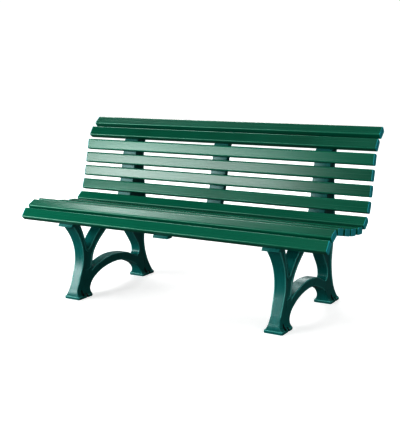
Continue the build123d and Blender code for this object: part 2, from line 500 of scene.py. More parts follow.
# ------------------------------------------------------------------ rail line
@dataclass(frozen=True)
class RailLine:
    """Side line of the rails: the flats that carry the slats.

    Attributes:
        corners: Corners of the rail's front surface, (distance behind the front feet, height), in mm.
        stations: Middle of each slat along its flat, in mm.
    """

    corners: tuple[Point2, ...] = (
        (-41.5, 340.0), (-5.1, 389.0), (50.6, 417.4), (128.2, 402.2), (201.1, 387.7),
        (274.4, 379.1), (361.8, 374.6), (418.5, 420.8), (447.7, 500.9), (462.5, 568.3),
        (477.5, 633.3), (491.1, 692.2), (521.2, 737.1), (574.0, 779.2),
    )
    stations: tuple[float, ...] = (
        45.0, 39.2, 39.9, 39.1, 35.2, 39.6, 41.4, 49.9, 35.6, 33.4, 33.4, 34.3, 45.5,
    )

    def direction(self, flat: int) -> Point2:
        """Gives the unit direction of a flat, going up the rail."""
        (ya, za), (yb, zb) = self.corners[flat], self.corners[flat + 1]
        run = math.hypot(yb - ya, zb - za)
        return (yb - ya) / run, (zb - za) / run

    def length(self, flat: int) -> float:
        """Gives the length of a flat in mm."""
        return math.dist(self.corners[flat], self.corners[flat + 1])

    def at(self, flat: int, along: float, depth: float) -> Point2:
        """Finds a point on a flat.

        Args:
            flat: Number of the flat, from the front end.
            along: Distance from its lower corner, in mm.
            depth: Distance behind its face, in mm.

        Returns:
            The point, in mm.
        """
        c, s = self.direction(flat)
        y, z = self.corners[flat]
        return y + along * c + depth * s, z + along * s - depth * c

    def corner(self, n: int, depth: float) -> Point2:
        """Gives a mitred corner of the face moved back by a depth."""
        c1, s1 = self.direction(n - 1)
        c2, s2 = self.direction(n)
        grow = depth / (1.0 + c1 * c2 + s1 * s2)
        y, z = self.corners[n]
        return y + (s1 + s2) * grow, z - (c1 + c2) * grow

    def line(self, depth: float, first: float, last: float) -> list[Point2]:
        """Follows the rail at one depth.

        Args:
            depth: Distance behind the face, in mm.
            first: Start along the first flat, in mm.
            last: End along the last flat, in mm.

        Returns:
            Corner points of the line.
        """
        end = len(self.corners) - 2
        inner = [self.corner(n, depth) for n in range(1, end + 1)]
        return [self.at(0, first, depth)] + inner + [self.at(end, last, depth)]

    def below(self, depth: float, height: float) -> Point2:
        """Finds where the first flat's line at a depth crosses a height."""
        c, s = self.direction(0)
        y, z = self.at(0, 0.0, depth)
        along = (height - z) / s
        return y + along * c, height


RAIL = RailLine()


def place(x: float, point: Point2) -> Triple:
    """Turns mm across, behind the front feet and up into metres in the bench's frame."""
    return x * MM, point[0] * MM + FRONT_Y, point[1] * MM


# ------------------------------------------------------------------ repeated pieces
class Grower:
    """Base of the pieces that a node tree sets out on points."""

    def __init__(self, title: str) -> None:
        """Starts an empty tree with a geometry input and output.

        Args:
            title: Name of the tree.
        """
        self.tree = bpy.data.node_groups.new(title, "GeometryNodeTree")
        self.sheet = NodeSheet(self.tree)
        face = self.tree.interface
        face.new_socket("Geometry", in_out="INPUT", socket_type="NodeSocketGeometry")
        face.new_socket("Geometry", in_out="OUTPUT", socket_type="NodeSocketGeometry")
        self.values: dict[str, object] = {}
        self.entry = self.tree.nodes.new("NodeGroupInput")

    def size(self, name: str, kind: str, value: object) -> bpy.types.NodeSocket:
        """Adds a named input to the tree.

        Args:
            name: Name of the input.
            kind: Socket type.
            value: Value that the modifier gives it.

        Returns:
            The socket inside the tree.
        """
        made = self.tree.interface.new_socket(name, in_out="INPUT", socket_type=kind)
        self.values[made.identifier] = value
        return next(s for s in self.entry.outputs if s.identifier == made.identifier)

    def math(self, operation: str, *values: object) -> bpy.types.NodeSocket:
        """Adds a math node and gives its result."""
        return self.sheet.add("ShaderNodeMath", dict(enumerate(values)), operation=operation).outputs[0]

    def vector(self, **axes: object) -> bpy.types.NodeSocket:
        """Joins X, Y and Z into a vector."""
        return self.sheet.add("ShaderNodeCombineXYZ", dict(axes)).outputs[0]

    def points(self) -> bpy.types.NodeSocket:
        """Gives the points that carry the pieces, each with its own random tone."""
        seed = self.size("Seed", "NodeSocketInt", 7)
        tone = self.sheet.add(
            "FunctionNodeRandomValue", {"Min_001": 0.0, "Max_001": 1.0, "Seed": seed}, data_type="FLOAT"
        )
        stored = self.sheet.add(
            "GeometryNodeStoreNamedAttribute",
            {"Geometry": self.entry.outputs[0], "Name": "tone", "Value": tone.outputs[1]},
            data_type="FLOAT", domain="POINT",
        )
        return stored.outputs[0]

    def finish(self, piece: bpy.types.NodeSocket, turn_by: bpy.types.NodeSocket | None = None) -> None:
        """Sets the piece on every point, makes it real and dresses it.

        Args:
            piece: Geometry of one piece.
            turn_by: Turn about the piece's own axis before it is placed, if any.
        """
        finish = self.size("Finish", "NodeSocketMaterial", None)
        turn = self.sheet.add("GeometryNodeInputNamedAttribute", {"Name": "turn"}, data_type="FLOAT_VECTOR")
        rotation = self.sheet.add("FunctionNodeEulerToRotation", {"Euler": turn.outputs[0]}).outputs[0]
        if turn_by is not None:
            spin = self.sheet.add("FunctionNodeEulerToRotation", {"Euler": turn_by}).outputs[0]
            rotation = self.sheet.add(
                "FunctionNodeRotateRotation", {
                    "Rotation": rotation, "Rotate By": spin
                }, rotation_space="LOCAL"
            ).outputs[0]
        set_out = self.sheet.add(
            "GeometryNodeInstanceOnPoints", {
                "Points": self.points(), "Instance": piece, "Rotation": rotation
            }
        )
        real = self.sheet.add("GeometryNodeRealizeInstances", {"Geometry": set_out.outputs[0]})
        dressed = self.sheet.add(
            "GeometryNodeSetMaterial", {"Geometry": real.outputs[0], "Material": finish}
        )
        self.sheet.add("NodeGroupOutput", {0: dressed.outputs[0]})

    def grow(
        self, name: str, spots: list[tuple[Triple, Triple]],
        material: bpy.types.Material,
    ) -> bpy.types.Object:
        """Runs the tree on a set of places and keeps the result as a plain mesh.

        Args:
            name: Name of the finished piece.
            spots: Place and turn of every copy.
            material: Material of the piece.

        Returns:
            The finished object.
        """
        mesh = bpy.data.meshes.new(name)
        mesh.from_pydata([spot for spot, _ in spots], [], [])
        turns = mesh.attributes.new("turn", "FLOAT_VECTOR", "POINT")
        turns.data.foreach_set("vector", [v for _, turn in spots for v in turn])
        made = link_object(name, mesh)
        modifier = made.modifiers.new(name, "NODES")
        modifier.node_group = self.tree
        for identifier, value in self.values.items():
            modifier[identifier] = material if value is None else value
        return settle(made)


@dataclass
class SlatSet:
    """The hollow slats of the seat and the back.

    Attributes:
        length: Length of a slat between its end caps, in m.
        width: Width of a slat, in m.
        thickness: Thickness of a slat, in m.
        rounding: Radius of its long edges, in m.
        steps: Steps in each rounded edge.
        seat: Flats that carry seat slats.
        back: Flats that carry back slats.
    """

    length: float = 1.4936
    width: float = 0.050
    thickness: float = 0.030
    rounding: float = 0.006
    steps: int = 6
    seat: tuple[int, ...] = tuple(range(0, 6))
    back: tuple[int, ...] = tuple(range(6, 13))

    def spot(self, flat: int, x: float = 0.0) -> tuple[Triple, Triple]:
        """Gives the place and turn of the slat on a flat.

        Args:
            flat: Number of the flat.
            x: Place along the bench, in mm.

        Returns:
            Centre in metres, and turn in radians.
        """
        c, s = RAIL.direction(flat)
        centre = RAIL.at(flat, RAIL.stations[flat], -self.thickness / MM / 2)
        return place(x, centre), (math.atan2(s, c), 0.0, 0.0)

    def section(self, grower: Grower) -> tuple[bpy.types.NodeSocket, bpy.types.NodeSocket]:
        """Draws the rounded section and finds its rounded edges.

        Args:
            grower: Tree that the nodes go into.

        Returns:
            The section curve, and a field that is true on the rounded edges.
        """
        add = grower.sheet.add
        width = grower.size("Slat Width", "NodeSocketFloat", self.width)
        thick = grower.size("Slat Thickness", "NodeSocketFloat", self.thickness)
        radius = grower.size("Edge Radius", "NodeSocketFloat", self.rounding)
        steps = grower.size("Edge Steps", "NodeSocketInt", self.steps)
        outline = add(
            "GeometryNodeCurvePrimitiveQuadrilateral", {"Width": width, "Height": thick}, mode="RECTANGLE"
        )
        rounded = add(
            "GeometryNodeFilletCurve", {
                "Curve": outline.outputs[0], "Count": steps, "Radius": radius
            }, mode="POLY"
        )
        spot = add("GeometryNodeInputPosition").outputs[0]
        axes = add("ShaderNodeSeparateXYZ", {0: spot}).outputs
        near = grower.math("MULTIPLY", radius, 0.97)
        past = [
            grower.math(
                "GREATER_THAN", grower.math("ABSOLUTE", axes[n]),
                grower.math("SUBTRACT", grower.math("MULTIPLY", size, 0.5), near),
            )
            for n, size in ((1, width), (2, thick))
        ]
        return rounded.outputs[0], grower.math("MULTIPLY", *past)

    def tree(self) -> Grower:
        """Builds the tree that sweeps one slat and sets it out.

        Returns:
            The finished tree.
        """
        grower = Grower("slat_row")
        add = grower.sheet.add
        length = grower.size("Slat Length", "NodeSocketFloat", self.length)
        section, edge = self.section(grower)
        half = grower.math("MULTIPLY", length, 0.5)
        run = add(
            "GeometryNodeCurvePrimitiveLine",
            {
                "Start": grower.vector(X=grower.math("MULTIPLY", half, -1.0)), "End": grower.vector(X=half)
            }, mode="POINTS",
        )
        solid = add(
            "GeometryNodeCurveToMesh", {
                "Curve": run.outputs[0], "Profile Curve": section, "Fill Caps": True
            }
        )
        shaded = add(
            "GeometryNodeSetShadeSmooth", {"Geometry": solid.outputs[0], "Shade Smooth": edge},
            domain="FACE"
        )
        # The rounded edges are marked for a painted highlight in the material.
        marked = add(
            "GeometryNodeStoreNamedAttribute", {
                "Geometry": shaded.outputs[0], "Name": "edge", "Value": edge
            },
            data_type="FLOAT", domain="POINT",
        )
        grower.finish(marked.outputs[0])
        return grower

    def make(self, finishes: Finishes) -> None:
        """Makes the seat slats and the back slats."""
        grower = self.tree()
        for name, flats in (("seat", self.seat), ("back", self.back)):
            piece = grower.grow(f"{name}_slats", [self.spot(flat) for flat in flats], finishes.slats)
            hand_over(piece, [f"{name}_slat_{n}" for n in range(1, len(flats) + 1)])


@dataclass
class EndCaps:
    """The plates that close the slats' ends.

    Attributes:
        slats: Slats that the caps close.
        length: Length of the bench over its caps, in mm.
        plate: Thickness of a cap's plate, in m.
        easing: How far the outer rim is rounded off, as a share of the plate's size.
    """

    slats: SlatSet
    length: float = 1500.0
    plate: float = 0.003
    easing: float = 0.045

    def tree(self) -> Grower:
        """Builds the tree that makes one cap and sets it out.

        Returns:
            The finished tree.
        """
        grower = Grower("end_cap_row")
        add = grower.sheet.add
        thick = grower.size("Plate Thickness", "NodeSocketFloat", self.plate)
        easing = grower.size("Rim Easing", "NodeSocketFloat", self.easing)
        section, edge = self.slats.section(grower)
        run = add(
            "GeometryNodeCurvePrimitiveLine",
            {
                "Start": grower.vector(X=grower.math("MULTIPLY", thick, -1.0)), "End": (0.0, 0.0, 0.0)
            }, mode="POINTS",
        )
        fine = add("GeometryNodeResampleCurve", {"Curve": run.outputs[0], "Count": 9})
        share = add("GeometryNodeSplineParameter").outputs["Factor"]
        late = add(
            "ShaderNodeMapRange", {"Value": share, "From Min": 0.5, "From Max": 1.0}
        ).outputs["Result"]
        drop = grower.math("MULTIPLY", grower.math("POWER", late, 2.4), easing)
        scale = grower.math("SUBTRACT", 1.0, drop)
        solid = add(
            "GeometryNodeCurveToMesh",
            {"Curve": fine.outputs[0], "Profile Curve": section, "Scale": scale, "Fill Caps": True},
        )
        side = add("GeometryNodeInputPosition").outputs[0]
        x = add("ShaderNodeSeparateXYZ", {0: side}).outputs[0]
        # The outer part of the plate, with its eased rim, is marked for a painted highlight.
        rim = grower.math("GREATER_THAN", x, grower.math("MULTIPLY", thick, -0.45))
        shaded = add(
            "GeometryNodeSetShadeSmooth", {"Geometry": solid.outputs[0], "Shade Smooth": edge},
            domain="FACE"
        )
        marked = add(
            "GeometryNodeStoreNamedAttribute", {
                "Geometry": shaded.outputs[0], "Name": "edge", "Value": rim
            },
            data_type="FLOAT", domain="POINT",
        )
        grower.finish(marked.outputs[0])
        return grower

    def make(self, finishes: Finishes) -> None:
        """Makes the caps on both ends of the seat and of the back.

        Args:
            finishes: Materials of the bench.
        """
        grower = self.tree()
        for side in Side:
            for name, flats in (("seat", self.slats.seat), ("back", self.slats.back)):
                spots = []
                for flat in flats:
                    centre, (tilt, _, _) = self.slats.spot(flat, side.value * self.length / 2)
                    spots.append(
                        (centre, (tilt, 0.0, 0.0) if side is Side.RIGHT else (-tilt, 0.0, math.pi))
                    )
                piece = grower.grow(f"{name}_caps_{side.word}", spots, finishes.caps)
                hand_over(piece, [f"{name}_end_caps_{side.word}"])


@dataclass
class SlatScrews:
    """Slotted pan-head screws that hold the slats to the rails' plates.

    Attributes:
        off_middle: Distance of a screw from its rail's middle, in mm.
        plate: Thickness of the rail's plate, in mm.
        head: Radius of the head, in m.
        rise: Height of the head, in m.
        slot: Width of the slot, in m.
    """

    off_middle: float = 28.0
    plate: float = 6.0
    head: float = 0.0045
    rise: float = 0.003
    slot: float = 0.0012

    def tree(self) -> Grower:
        """Builds the tree that turns one head, slots it and sets it out.

        Returns:
            The finished tree.
        """
        grower = Grower("screw_row")
        add = grower.sheet.add
        radius = grower.size("Head Radius", "NodeSocketFloat", self.head)
        rise = grower.size("Head Height", "NodeSocketFloat", self.rise)
        width = grower.size("Slot Width", "NodeSocketFloat", self.slot)
        stem = add(
            "GeometryNodeCurvePrimitiveLine", {
                "Start": (0.0, 0.0, -0.004), "End": grower.vector(Z=rise)
            }, mode="POINTS"
        )
        fine = add("GeometryNodeResampleCurve", {"Curve": stem.outputs[0], "Count": 15})
        share = add("GeometryNodeSplineParameter").outputs["Factor"]
        top = add(
            "ShaderNodeMapRange", {"Value": share, "From Min": 0.62, "From Max": 1.0}
        ).outputs["Result"]
        bend = grower.math("SQRT", grower.math("SUBTRACT", 1.02, grower.math("MULTIPLY", top, top)))
        bend = grower.math("MINIMUM", bend, 1.0)
        is_head = grower.math("GREATER_THAN", share, 0.57)
        wide = grower.math("MULTIPLY_ADD", is_head, 0.45, 0.55)
        ring = add("GeometryNodeCurvePrimitiveCircle", {"Resolution": 20, "Radius": radius}, mode="RADIUS")
        solid = add(
            "GeometryNodeCurveToMesh",
            {
                "Curve": fine.outputs[0], "Profile Curve": ring.outputs[0],
                "Scale": grower.math("MULTIPLY", wide, bend), "Fill Caps": True
            },
        )
        blade = add(
            "GeometryNodeMeshCube",
            {
                "Size": grower.vector(
                    X=grower.math("MULTIPLY", radius, 1.3), Y=width, Z=rise
                )
            },
        )
        lifted = add(
            "GeometryNodeTransform", {"Geometry": blade.outputs[0], "Translation": grower.vector(Z=rise)}
        )
        cut = add(
            "GeometryNodeMeshBoolean", {"Mesh 1": solid.outputs[0], "Mesh 2": lifted.outputs[0]},
            operation="DIFFERENCE", solver="EXACT",
        )
        seed = grower.size("Turn Seed", "NodeSocketInt", 3)
        angle = add(
            "FunctionNodeRandomValue", {"Min_001": 0.0, "Max_001": 3.14, "Seed": seed}, data_type="FLOAT"
        )
        flat = add(
            "GeometryNodeSetShadeSmooth", {"Geometry": cut.outputs[0], "Shade Smooth": False}, domain="FACE"
        )
        grower.finish(flat.outputs[0], turn_by=grower.vector(Z=angle.outputs[1]))
        return grower

    def make(self, finishes: Finishes, rails: dict[str, float]) -> None:
        """Makes the screws of every rail.

        Args:
            finishes: Finishes of the bench.
            rails: Place of each rail along the bench, in mm.
        """
        grower = self.tree()
        for word, x in rails.items():
            spots = []
            for flat, station in enumerate(RAIL.stations):
                c, s = RAIL.direction(flat)
                turn = (math.atan2(-s, -c), 0.0, 0.0)
                for off in (-self.off_middle, self.off_middle):
                    spots.append((place(x + off, RAIL.at(flat, station, self.plate)), turn))
            piece = grower.grow(f"screws_{word}", spots, finishes.steel)
            hand_over(piece, [f"slat_screws_{word}"])


# ------------------------------------------------------------------ rails
@dataclass
class CurvedRail:
    """A rail: a channel open behind, with a closed front end cut level.

    Attributes:
        word: Which rail it is.
        x: Place along the bench, in mm.
        width: Width over the sides, in mm.
        depth: Depth of the channel's sides, in mm.
        plate: Thickness of the front plate, in mm.
        wall: Thickness of the sides, in mm.
        end_height: Height of the level front end, in mm.
        block: Length of the solid front end along its flat, in mm.
        lip: Thickness of the wall at the top end, in mm.
        rounding: Radius of the edges, in mm.
    """

    word: str
    x: float
    width: float = 76.0
    depth: float = 27.0
    plate: float = 6.0
    wall: float = 5.0
    end_height: float = 345.0
    block: float = 32.0
    lip: float = 4.0
    rounding: float = 1.9

    def stations(self, depth: float, first: float | None, last: float) -> list[Point2]:
        """Follows the rail at one depth, from its level end or from a place on flat 0."""
        line = RAIL.line(depth, 0.0 if first is None else first, last)
        if first is None:
            flat = len(RAIL.corners) - 2
            line[0] = RAIL.below(depth, self.end_height)
            line.insert(1, RAIL.at(0, self.block, depth))
            line.insert(-1, RAIL.at(flat, last - self.lip, depth))
        return line

    def grid(
        self, bm: bmesh.types.BMesh, across: list[Point2], first: float | None, last: float
    ) -> list[Ring]:
        """Lays rows of points for a strip of the section.

        Args:
            bm: Mesh under construction.
            across: Section points, (place across, depth), in mm.
            first: Start along flat 0, or None for the level end.
            last: End along the last flat.

        Returns:
            One row of vertices for each section point.
        """
        return [
            [bm.verts.new(place(self.x + x, p)) for p in self.stations(depth, first, last)]
            for x, depth in across
        ]

    @staticmethod
    def skin(bm: bmesh.types.BMesh, rows: list[Ring]) -> None:
        """Fills faces between neighbouring rows."""
        for a, b in zip(rows, rows[1:]):
            for k in range(len(a) - 1):
                bm.faces.new((a[k], a[k + 1], b[k + 1], b[k]))

    def mesh(self) -> bpy.types.Mesh:
        """Builds the channel with its closed ends.

        Returns:
            The mesh, before its edges are rounded.
        """
        half, inner = self.width / 2, self.width / 2 - self.wall
        top = RAIL.length(len(RAIL.corners) - 2)
        bm = bmesh.new()
        outer = [(-half, self.depth), (-half, 0.0), (half, 0.0), (half, self.depth)]
        self.skin(bm, self.grid(bm, outer, None, top))
        inside = [(inner, self.depth), (inner, self.plate), (-inner, self.plate), (-inner, self.depth)]
        self.skin(bm, self.grid(bm, inside, self.block, top - self.lip))
        for x, turn in ((-1, False), (1, True)):
            pair = [
                [bm.verts.new(place(self.x + x * half, p)) for p in self.stations(self.depth, None, top)],
                [bm.verts.new(place(self.x + x * inner, p)) for p in self.stations(self.depth, None, top)],
            ]
            self.skin(bm, pair[::-1] if turn else pair)
        last = len(RAIL.corners) - 2
        pockets = (
            (RAIL.at(0, self.block, self.plate), RAIL.at(0, self.block, self.depth)),
            (RAIL.at(last, top - self.lip, self.plate), RAIL.at(last, top - self.lip, self.depth)),
        )
        for low, high in pockets:
            corners = ((-inner, low), (inner, low), (inner, high), (-inner, high))
            bm.faces.new([bm.verts.new(place(self.x + x, p)) for x, p in corners])
        ends = (
            (RAIL.below(0.0, self.end_height), RAIL.below(self.depth, self.end_height)),
            (RAIL.at(last, top, 0.0), RAIL.at(last, top, self.depth)),
            (RAIL.below(self.depth, self.end_height), RAIL.at(0, self.block, self.depth)),
            (RAIL.at(last, top - self.lip, self.depth), RAIL.at(last, top, self.depth)),
        )
        for number, (low, high) in enumerate(ends):
            if number < 2:
                ring = (
                    (-half, low), (half, low), (half, high), (inner, high), (-inner, high), (-half, high)
                )
            else:
                ring = ((-inner, low), (inner, low), (inner, high), (-inner, high))
            bm.faces.new([bm.verts.new(place(self.x + x, p)) for x, p in ring])
        bmesh.ops.remove_doubles(bm, verts=bm.verts, dist=1e-6)
        bmesh.ops.recalc_face_normals(bm, faces=bm.faces)
        mesh = bpy.data.meshes.new(f"rail_body_{self.word}")
        bm.to_mesh(mesh)
        bm.free()
        return mesh

    @staticmethod
    def clean(mesh: bpy.types.Mesh) -> None:
        """Drops the slivers that the rounding leaves where edges meet closely."""
        bm = bmesh.new()
        bm.from_mesh(mesh)
        bmesh.ops.remove_doubles(bm, verts=bm.verts, dist=2e-5)
        bmesh.ops.dissolve_degenerate(bm, edges=bm.edges, dist=2e-5)
        bmesh.ops.recalc_face_normals(bm, faces=bm.faces)
        bm.to_mesh(mesh)
        bm.free()

    def make(self, finishes: Finishes) -> None:
        """Makes the rail, rounds its edges and dresses it.

        Args:
            finishes: Materials of the bench.
        """
        piece = link_object(f"curved_rail_{self.word}", self.mesh())
        bevel = piece.modifiers.new("edges", "BEVEL")
        bevel.width = self.rounding * MM
        bevel.segments = 3
        bevel.limit_method = "ANGLE"
        bevel.angle_limit = math.radians(50)
        settle(piece)
        self.clean(piece.data)
        piece.data.set_sharp_from_angle(angle=math.radians(28))
        piece.data.materials.clear()
        piece.data.materials.append(finishes.rails)
        hand_over(piece, [f"rail_{self.word}"])


# ------------------------------------------------------------------ leg frames
@dataclass
class LegFrame:
    """A leg frame: front leg, arch, rear leg and the branches below the rail.

    Attributes:
        side: End of the bench it stands at.
        x: Place of its middle plane, in mm.
        widths: Width of the body at each height, in mm.
        rounding: Radius of the long edges, in mm.
        steps: Steps in each rounded edge.
        spacing: Distance between samples of the outline's curves, in mm.
        stride: Longest distance between samples of its straight lines, in mm.
        saddle: Depth behind the rail's face where the saddle starts, in mm.
        channel: Depth of the rail's channel, in mm.
        inside: Half the width inside the channel, in mm.
        panel_depth: Depth of the sunk side panels, in mm.
    """

    side: Side
    x: float
    widths: tuple[Point2, ...] = (
        (0.0, 48.0), (75.0, 47.5), (100.0, 49.0), (150.0, 51.5), (200.0, 52.0), (250.0, 54.0),
        (300.0, 56.5), (345.0, 61.0), (380.0, 62.0), (450.0, 54.0), (800.0, 52.0),
    )
    rounding: float = 4.0
    steps: int = 4
    spacing: float = 6.0
    stride: float = 14.0
    saddle: float = 14.0
    channel: float = 27.0
    inside: float = 33.0
    panel_depth: float = 5.5

    def half(self, height: float) -> float:
        """Gives half the body's width at a height."""
        z, w = zip(*self.widths)
        return float(np.interp(height, z, w)) / 2

    def outline(self) -> list[Point2]:
        """Draws the outer outline of the frame, anticlockwise.

        Returns:
            Points of the closed loop.
        """
        def curve(*points: Point2) -> list[Point2]:
            """Samples a smooth line through points."""
            return smooth_curve(list(points), self.spacing)

        def line(*points: Point2) -> list[Point2]:
            """Samples straight lines through points, which need fewer samples."""
            return straight_run(list(points), self.stride)

        last = RAIL.at(12, 50.0, self.channel)
        front = curve(
            (2, 0), (6, 30), (17, 52), (37, 101), (55, 152), (60, 197), (50, 250), (24, 300), (-12, 345)
        )
        rise = line(
            (-12, 345), (-4, 345), RAIL.at(0, 37.0, self.channel), *RAIL.line(self.saddle, 37.0, 50.0), last
        )
        crown = curve(last, (592, 749), (602, 736))
        rear = curve(
            (602, 736), (585, 696), (568, 632), (564, 565), (569, 500), (575, 428), (574, 320),
            (566, 240), (562, 180), (571, 130), (586, 92), (608, 50), (617, 30), (623, 0),
        )
        arch = curve(
            (524, 0), (522, 27), (507, 53), (473, 79), (430, 98), (389, 112), (341, 120),
            (267, 118), (196, 103), (143, 78), (112, 49), (103, 25), (103, 0),
        )
        loop = closed_loop(front, rise, crown, rear, line((623, 0), (524, 0)), arch, line((103, 0), (2, 0)))
        return turned(loop, True)

    def fork(self) -> list[Point2]:
        """Draws the opening between the two upper branches of the front leg, clockwise."""
        sides = smooth_curve(
            [(40, 342), (56, 314), (70, 283), (83, 250), (90, 229), (98, 220), (111, 229),
             (131, 251), (154, 276), (183, 301), (212, 330)], 4.0,
        )
        top = straight_run([(212, 330), (196, 343), (128, 357), (70, 368), (48, 358), (40, 342)], 8.0)
        return turned(closed_loop(sides, top), False)

    def window(self) -> list[Point2]:
        """Draws the opening between the arch, the rear branch and the rear leg, clockwise."""
        low = smooth_curve(
            [(125, 116), (150, 131), (192, 143), (243, 155), (305, 160), (368, 155), (411, 147),
             (440, 136), (498, 113)], self.spacing,
        )
        high = smooth_curve(
            [(498, 113), (513, 126), (516, 143), (507, 171), (487, 199), (453, 243), (405, 294),
             (362, 324), (318, 334), (277, 324), (239, 295), (190, 257), (163, 231), (146, 210),
             (135, 188), (128, 152), (125, 116)], self.spacing,
        )
        return turned(closed_loop(low, high), False)

    def panels(self) -> list[list[Point2]]:
        """Draws the sunk side panels: front leg with its branches, and rear leg.

        Returns:
            Closed loops, anticlockwise.
        """
        branch = [
            (62, 122), (67, 150), (71, 197), (61, 252), (37, 305), (12, 336), (30, 337), (46, 311),
            (60, 281), (73, 248), (80, 226), (90, 212), (99, 209), (112, 214), (122, 226), (139, 245),
            (162, 270), (190, 294), (218, 323), (232, 334), (268, 334), (272, 329), (234, 301),
            (184, 263), (157, 237), (139, 214), (127, 191), (120, 153), (116, 127),
        ]
        post = [
            (588, 68), (575, 92), (560, 130), (552, 180), (556, 240), (564, 320), (565, 428),
            (559, 500), (554, 565), (558, 632), (574, 700), RAIL.at(11, 40.0, 36.0),
        ]
        post += [RAIL.corner(n, 36.0) for n in (11, 10, 9, 8, 7)]
        post += [
            (378, 339), (371, 332), (414, 302), (463, 251), (499, 206), (521, 172), (529, 145), (541, 112),
            (562, 84)
        ]
        return [turned(softened(loop, 2), True) for loop in (branch, post)]

    def sunk_panel(self, bm: bmesh.types.BMesh, layer: object, loop: list[Point2], sign: int) -> Ring:
        """Sinks one panel into a side and closes its floor.

        Args:
            bm: Mesh under construction.
            layer: Layer that holds how strongly an edge carries the painted highlight.
            loop: Edge of the panel.
            sign: Side of the frame.

        Returns:
            Ring of the panel's edge, in the side surface.
        """
        depth = self.panel_depth
        # Each step: inset, sink and painted edge highlight; the rim's first rings carry the highlight.
        steps = (
            (0.0, 0.0, 0.0), (0.35, 0.1, 0.9), (0.8, 0.6, 1.0), (1.5, depth - 1.2, 0.0),
            (2.3, depth - 0.2, 0.0), (3.2, depth, 0.0)
        )
        rings = [self.ring(bm, layer, loop, inset, sink, sign, edge_highlight) for inset, sink, edge_highlight in steps]
        for a, b in zip(rings, rings[1:]):
            self.bridge(bm, a, b)
        last = rings[-1]
        floor = [bm.edges.get((last[k], last[(k + 1) % len(last)])) for k in range(len(last))]
        bmesh.ops.triangle_fill(bm, use_beauty=True, use_dissolve=False, edges=floor)
        return rings[0]

    def ring(
        self, bm: bmesh.types.BMesh, layer: object, loop: list[Point2], inset: float, sink: float,
        sign: int, edge_highlight: float
    ) -> Ring:
        """Adds one ring of vertices of a rounded edge.

        Args:
            bm: Mesh under construction.
            layer: Layer that holds how worn an edge is.
            loop: Outline that the ring follows.
            inset: How far it lies inside the outline, in mm.
            sink: How far it lies inside the side surface, in mm.
            sign: Side of the frame.
            edge_highlight: Painted highlight at the ring, 0 to 1.

        Returns:
            Vertices of the ring.
        """
        made = []
        for point in offset_loop(loop, inset):
            vert = bm.verts.new(place(self.x + sign * (self.half(point[1]) - sink), point))
            vert[layer] = edge_highlight
            made.append(vert)
        return made

    def edge_rings(self, bm: bmesh.types.BMesh, layer: object, loop: list[Point2], sign: int) -> list[Ring]:
        """Adds the rings that round a loop's edge on one side.

        Args:
            bm: Mesh under construction.
            layer: Layer that holds how strongly an edge carries the painted highlight.
            loop: Outline to round.
            sign: Side of the frame.

        Returns:
            Rings from the narrow face to the side surface.
        """
        r = self.rounding
        rings = [self.ring(bm, layer, loop, 0.0, r + 0.8, sign, 0.0)]
        for k in range(self.steps + 1):
            angle = k * math.pi / 2 / self.steps
            # The middle rings of the rounded edge get the full painted highlight, its two end rings less.
            edge_highlight = 1.0 if 0 < k < self.steps else 0.4
            rings.append(
                self.ring(bm, layer, loop, r * (1 - math.cos(angle)), r * (1 - math.sin(angle)), sign, edge_highlight)
            )
        rings.append(self.ring(bm, layer, loop, r + 0.8, 0.0, sign, 0.0))
        return rings

    @staticmethod
    def bridge(bm: bmesh.types.BMesh, a: Ring, b: Ring) -> None:
        """Fills the band between two rings of the same length."""
        for k in range(len(a)):
            n = (k + 1) % len(a)
            bm.faces.new((a[k], a[n], b[n], b[k]))

    def body(self, bm: bmesh.types.BMesh, layer: object) -> None:
        """Builds the body with rounded edges and its two openings.

        Args:
            bm: Mesh under construction.
            layer: Layer that holds how worn an edge is.
        """
        loops = (self.outline(), self.fork(), self.window())
        rims: dict[int, list[bmesh.types.BMEdge]] = {-1: [], 1: []}
        for loop in loops:
            sides = {sign: self.edge_rings(bm, layer, loop, sign) for sign in (-1, 1)}
            self.bridge(bm, sides[-1][0], sides[1][0])
            for sign, rings in sides.items():
                for a, b in zip(rings, rings[1:]):
                    self.bridge(bm, a, b)
                rim = rings[-1]
                rims[sign] += [bm.edges.get((rim[k], rim[(k + 1) % len(rim)])) for k in range(len(rim))]
        for sign, edges in rims.items():
            for panel in self.panels():
                rim = self.sunk_panel(bm, layer, panel, sign)
                edges += [bm.edges.get((rim[k], rim[(k + 1) % len(rim)])) for k in range(len(rim))]
            bmesh.ops.triangle_fill(bm, use_beauty=True, use_dissolve=False, edges=edges)

    def saddle_block(self, bm: bmesh.types.BMesh) -> None:
        """Builds the wider band that fills the rail's channel.

        Args:
            bm: Mesh that the block is added to.
        """
        first, last = 37.0, 50.0
        front = RAIL.line(self.saddle, first, last)
        rear = RAIL.line(self.channel - 0.4, first, last)
        rows = [
            [bm.verts.new(place(self.x + x, p)) for p in line]
            for x, line in (
                (-self.inside, rear), (-self.inside, front), (self.inside, front), (self.inside, rear)
            )
        ]
        for a, b in zip(rows, rows[1:] + rows[:1]):
            for k in range(len(a) - 1):
                bm.faces.new((a[k], a[k + 1], b[k + 1], b[k]))
        bm.faces.new([row[0] for row in rows])
        bm.faces.new([row[-1] for row in rows][::-1])

    def make(self, finishes: Finishes) -> None:
        """Makes the body and both feet as one piece and dresses it.

        Args:
            finishes: Materials of the bench.
        """
        bm = bmesh.new()
        layer = bm.verts.layers.float.new("edge")
        self.body(bm, layer)
        self.saddle_block(bm)
        bmesh.ops.recalc_face_normals(bm, faces=bm.faces)
        mesh = bpy.data.meshes.new("leg_body")
        bm.to_mesh(mesh)
        bm.free()
        piece = link_object(f"frame_{self.side.word}", mesh)
        outline = self.outline()
        for spot in (FootSpot(0.0, 104.0, outline, True), FootSpot(521.0, 625.2, outline, False)):
            foot = Foot(self.x, spot).make()
            self.join(piece, foot)
        piece.data.set_sharp_from_angle(angle=math.radians(34))
        piece.data.materials.clear()
        piece.data.materials.append(finishes.frame)
        for face in piece.data.polygons:
            face.material_index = 0
        hand_over(piece, [f"leg_frame_{self.side.word}"])

